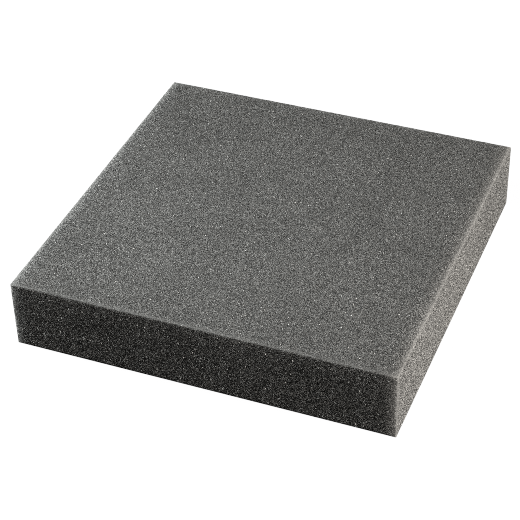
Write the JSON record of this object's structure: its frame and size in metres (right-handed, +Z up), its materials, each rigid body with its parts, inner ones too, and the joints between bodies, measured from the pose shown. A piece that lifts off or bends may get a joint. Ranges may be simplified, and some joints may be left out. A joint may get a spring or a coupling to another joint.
{
  "type": "foam block",
  "caption": "Square slab of charcoal open-cell foam with flat knife-cut faces and crisp edges, for padding, packing or cushioning things on a bench or desk.",
  "frame": {"origin": "centre of the flat face that the block rests on", "axes": "+X along the front edge to the right, +Y from the front face to the back face, +Z up through the thickness"},
  "size_m": [0.2032, 0.2032, 0.0381],
  "materials": {
    "foam": "matte open-cell polyurethane foam, knife cut"
  },
  "bodies": {
    "root": {"foam_block": "foam"}
  },
  "joints": []
}
